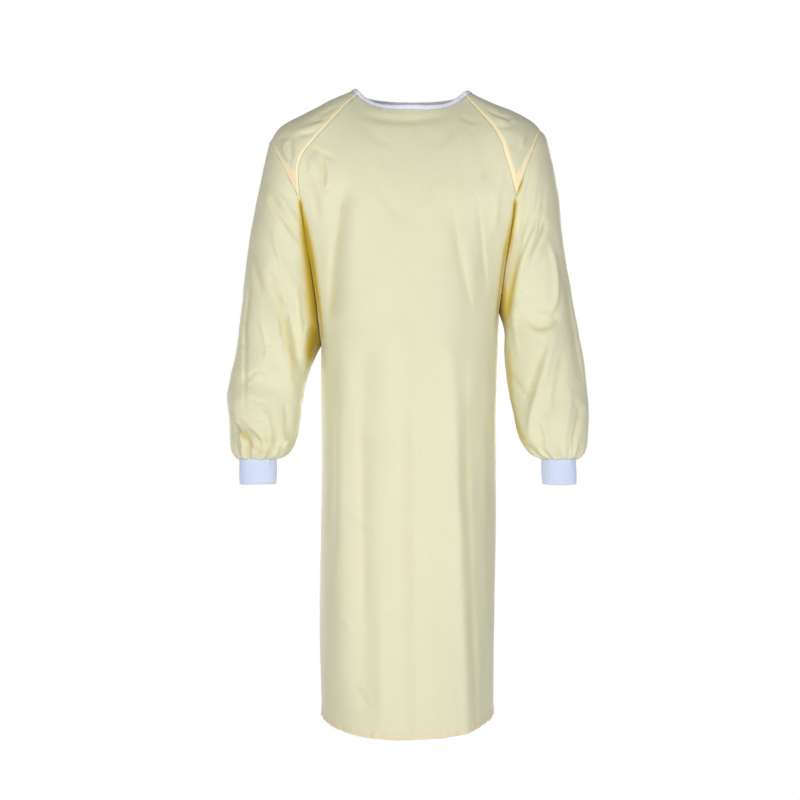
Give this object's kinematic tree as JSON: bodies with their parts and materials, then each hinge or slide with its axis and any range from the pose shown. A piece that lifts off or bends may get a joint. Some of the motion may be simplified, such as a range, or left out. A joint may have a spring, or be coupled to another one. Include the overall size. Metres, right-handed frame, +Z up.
{
  "type": "protective gown",
  "caption": "Long-sleeved protective gown in its worn shape, with raglan shoulders, rib-knit cuffs, a bound round neck, a lapped back opening and a turned-up hem.",
  "frame": {"origin": "middle of the neck, level with the top of the shoulders, where the wearer carries the gown", "axes": "+Z up along the wearer's body, -Y the way the front faces, +X to the wearer's left"},
  "size_m": [0.675, 0.2903, 1.191],
  "materials": {
    "cloth": "pale yellow coated polyester plain weave, smooth with a soft sheen",
    "rib_knit": "bluish white rib knit, matt",
    "binding": "white woven tape, folded over the neck edge",
    "snap": "smooth off-white moulded press stud"
  },
  "bodies": {
    "root": {"front": "cloth", "back_left": "cloth", "back_right": "cloth", "shoulder_left": "cloth", "shoulder_right": "cloth", "sleeve_left": "cloth", "sleeve_right": "cloth", "cuff_left": "rib_knit", "cuff_right": "rib_knit", "neck_binding": "binding", "snap": "snap"}
  },
  "joints": []
}
